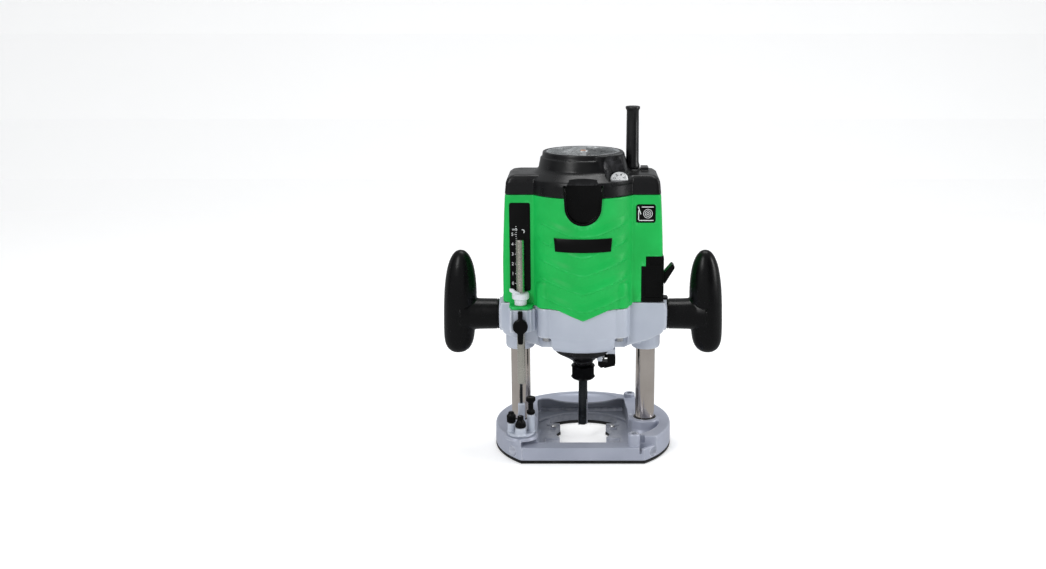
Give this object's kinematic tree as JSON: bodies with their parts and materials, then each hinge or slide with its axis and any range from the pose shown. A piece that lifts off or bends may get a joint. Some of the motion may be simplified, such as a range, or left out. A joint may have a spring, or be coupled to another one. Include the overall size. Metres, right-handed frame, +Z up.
{
  "type": "plunge router",
  "caption": "Plunge router on two sprung steel columns, with side grips, a turret depth stop with scaled pole, a speed dial and a D-shaped guide base.",
  "frame": {"origin": "under the middle of the outline, on the face of the sub-base that rests on the work; the spindle axis is 12.25 mm in front of it", "axes": "+Z up along the spindle and the columns, -Y to the front with the flat edge of the base, +X to the operator's right as seen from the front of the machine"},
  "size_m": [0.2878, 0.1596, 0.351],
  "materials": {
    "green_shell": "moulded nylon with a fine grain and a soft sheen",
    "black_plastic": "moulded glass-filled nylon, fine grain, worn lighter at the edges",
    "grip_plastic": "smooth moulded grip with a satin sheen",
    "rubber_black": "smooth moulded rubber",
    "bracket_casting": "die-cast aluminium with a pale silver-grey lacquer",
    "base_casting": "die-cast aluminium, silver-grey lacquer, fine cast grain",
    "sole_plastic": "flat black phenolic sole",
    "label_black": "black printed plate",
    "polished_steel": "ground and polished steel",
    "zinc_steel": "bright zinc-plated steel",
    "dark_steel": "black oxide steel",
    "white_plastic": "white acetal",
    "laminations": "stacked and varnished sheet steel",
    "copper": "turned copper bars",
    "carbon": "pressed carbon"
  },
  "bodies": {
    "base": {"base_plate": "base_casting", "sub_base": "sole_plastic", "sub_base_screw_1": "dark_steel", "sub_base_screw_2": "dark_steel", "sub_base_screw_3": "dark_steel", "sub_base_screw_4": "dark_steel", "column_left": "polished_steel", "column_right": "polished_steel", "column_spring_left": "dark_steel", "column_spring_right": "dark_steel", "template_screw_left": "zinc_steel", "template_screw_right": "zinc_steel", "guide_bar_screw_front": "dark_steel", "guide_bar_screw_rear": "dark_steel"},
    "turret": {"turret_block": "bracket_casting", "turret_bolt": "dark_steel", "stop_screw_low": "black_plastic", "stop_screw_mid": "black_plastic", "stop_screw_high": "black_plastic", "stop_pin": "dark_steel"},
    "depth_pole": {"depth_pole": "polished_steel"},
    "depth_indicator": {"depth_indicator": "white_plastic"},
    "head": {"motor_bracket": "bracket_casting", "housing": "green_shell", "tail_cover": "black_plastic", "vent_grille": "dark_steel", "front_cover": "black_plastic", "cord_guard": "rubber_black", "scale_plate": "label_black", "badge_plate": "label_black", "name_plate": "label_black", "grip_left": "grip_plastic", "grip_right": "grip_plastic", "column_seal_left": "rubber_black", "column_seal_right": "rubber_black", "field_core": "laminations", "brush_left": "carbon", "brush_right": "carbon", "switch_body": "black_plastic", "bearing_lower": "zinc_steel", "bearing_upper": "zinc_steel", "bearing_cover": "black_plastic", "lock_bracket": "bracket_casting", "lock_pin_spring": "zinc_steel", "housing_screw_1": "dark_steel", "housing_screw_2": "dark_steel", "housing_screw_3": "dark_steel", "housing_screw_4": "dark_steel"},
    "spindle": {"armature_shaft": "zinc_steel", "armature_core": "laminations", "commutator": "copper", "fan": "black_plastic", "collet": "zinc_steel", "collet_nut": "dark_steel", "router_bit": "dark_steel"},
    "lock_pin": {"lock_pin": "black_plastic"},
    "switch_lever": {"switch_lever": "black_plastic"},
    "speed_dial": {"speed_dial": "white_plastic"},
    "lock_lever": {"lock_lever": "black_plastic"},
    "pole_wing_bolt": {"pole_wing_bolt": "black_plastic"}
  },
  "joints": [
    {"name": "plunge", "type": "slide", "parent": "base", "child": "head", "axis": [0, 0, 1], "range_m": [-0.065, 0], "stiffness_N_per_m": 1200, "springref_m": 0.075, "deforming": ["column_spring_left", "column_spring_right"]},
    {"name": "spindle_spin", "type": "hinge", "parent": "head", "child": "spindle", "pos_m": [0, -0.01225, 0.08], "axis": [0, 0, 1], "continuous": true},
    {"name": "turret_index", "type": "hinge", "parent": "base", "child": "turret", "pos_m": [-0.063, -0.05825, 0.026], "axis": [0, 0, 1], "range_deg": [0, 270]},
    {"name": "pole_slide", "type": "slide", "parent": "base", "child": "depth_pole", "axis": [0, 0, 1], "range_m": [0, 0.05]},
    {"name": "indicator_slide", "type": "slide", "parent": "depth_pole", "child": "depth_indicator", "axis": [0, 0, 1], "range_m": [0, 0.05]},
    {"name": "wing_bolt_turn", "type": "hinge", "parent": "head", "child": "pole_wing_bolt", "pos_m": [-0.0624, -0.06025, 0.1385], "axis": [0, 1, 0], "range_deg": [-90, 90]},
    {"name": "plunge_lock", "type": "hinge", "parent": "head", "child": "lock_lever", "pos_m": [-0.063, 0.02175, 0.135], "axis": [0, 1, 0], "range_deg": [0, 40]},
    {"name": "spindle_lock", "type": "slide", "parent": "head", "child": "lock_pin", "axis": [-1, 0, 0], "range_m": [0, 0.003], "stiffness_N_per_m": 300},
    {"name": "switch_tilt", "type": "hinge", "parent": "head", "child": "switch_lever", "pos_m": [0.0825, -0.03225, 0.1705], "axis": [0, 1, 0], "range_deg": [-14, 0]},
    {"name": "dial_turn", "type": "hinge", "parent": "head", "child": "speed_dial", "pos_m": [0.0355, -0.04715, 0.2843], "axis": [0, -0.7174, 0.6967], "range_deg": [-135, 135]}
  ]
}
